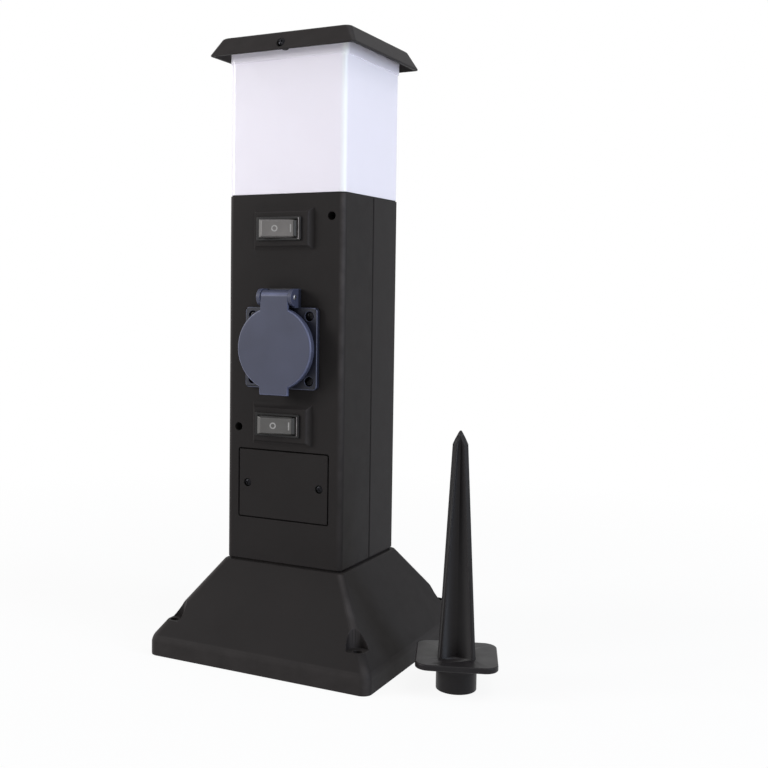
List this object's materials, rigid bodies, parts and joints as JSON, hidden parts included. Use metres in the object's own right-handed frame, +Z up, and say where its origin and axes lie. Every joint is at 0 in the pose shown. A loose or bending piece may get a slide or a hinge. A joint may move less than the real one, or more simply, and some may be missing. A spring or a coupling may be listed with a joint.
{
  "type": "garden socket post",
  "caption": "Square garden power post with flared foot, rocker switches, sprung socket lid, access cover, opal lantern with roof cap, and a loose ground spike.",
  "frame": {"origin": "centre of the foot's underside, on the ground, at the mouth of the spike's hub", "axes": "+Z up, front with switches and socket towards -Y, +X to the right seen from the front"},
  "size_m": [0.2182, 0.1526, 0.3901],
  "materials": {
    "black_plastic": "satin, finely grained",
    "dark_plastic": "satin",
    "lid_plastic": "satin",
    "rocker_plastic": "glossy, smoky",
    "rubber": "matte",
    "steel": "zinc plated",
    "screw_steel": "black plated",
    "brass": "plain",
    "opal_plastic": "opal, smooth",
    "lamp_plastic": "satin",
    "bulb_glass": "frosted",
    "block_plastic": "satin",
    "live_insulation": "satin",
    "neutral_insulation": "satin",
    "earth_insulation": "satin"
  },
  "bodies": {
    "post": {"foot_base": "black_plastic", "pillar_front": "black_plastic", "pillar_rear": "black_plastic", "seam_seals": "rubber", "shell_screws": "screw_steel", "foot_screws": "steel", "access_cover": "black_plastic", "cover_seal": "rubber", "cover_screws": "screw_steel", "upper_switch_body": "dark_plastic", "upper_switch_tabs": "brass", "lower_switch_body": "dark_plastic", "lower_switch_tabs": "brass", "socket_body": "lid_plastic", "socket_seal": "rubber", "socket_screws": "screw_steel", "socket_back": "dark_plastic", "socket_back_screw": "steel", "plug_contacts": "brass", "earth_strap": "brass", "hinge_pin": "steel", "lid_spring": "steel", "lamp_tray": "black_plastic", "tray_screws": "steel", "lamp_holder": "lamp_plastic", "holder_nut": "steel", "lamp_sleeve": "brass", "lamp_contact": "brass", "bulb_cap": "steel", "bulb_envelope": "bulb_glass", "diffuser": "opal_plastic", "diffuser_seal": "rubber", "roof_cap": "black_plastic", "roof_screws": "screw_steel", "terminal_block": "block_plastic", "terminal_clamps": "brass", "terminal_screws": "steel", "block_screws": "steel", "gland_body": "dark_plastic", "gland_nut": "dark_plastic", "gland_dome": "dark_plastic", "gland_seal": "rubber", "live_wires": "live_insulation", "neutral_wires": "neutral_insulation", "earth_wire": "earth_insulation"},
    "lid": {"socket_lid": "lid_plastic", "lid_seal": "rubber"},
    "upper_key": {"upper_rocker": "rocker_plastic"},
    "lower_key": {"lower_rocker": "rocker_plastic"},
    "spike": {"ground_spike": "black_plastic"}
  },
  "joints": [
    {"name": "lid_hinge", "type": "hinge", "parent": "post", "child": "lid", "pos_m": [0, -0.049, 0.2262], "axis": [-1, 0, 0], "range_deg": [0, 105], "stiffness_Nm_per_rad": 0.008, "springref_deg": -57.3, "deforming": ["lid_spring"]},
    {"name": "upper_switch", "type": "hinge", "parent": "post", "child": "upper_key", "pos_m": [-0.0018, -0.0431, 0.268], "axis": [0, 0, -1], "range_deg": [0, 26]},
    {"name": "lower_switch", "type": "hinge", "parent": "post", "child": "lower_key", "pos_m": [-0.0018, -0.0431, 0.1474], "axis": [0, 0, -1], "range_deg": [0, 26]},
    {"name": "spike_lift", "type": "slide", "parent": "post", "child": "spike", "axis": [0, 0, 1], "range_m": [0, 0.2]}
  ]
}
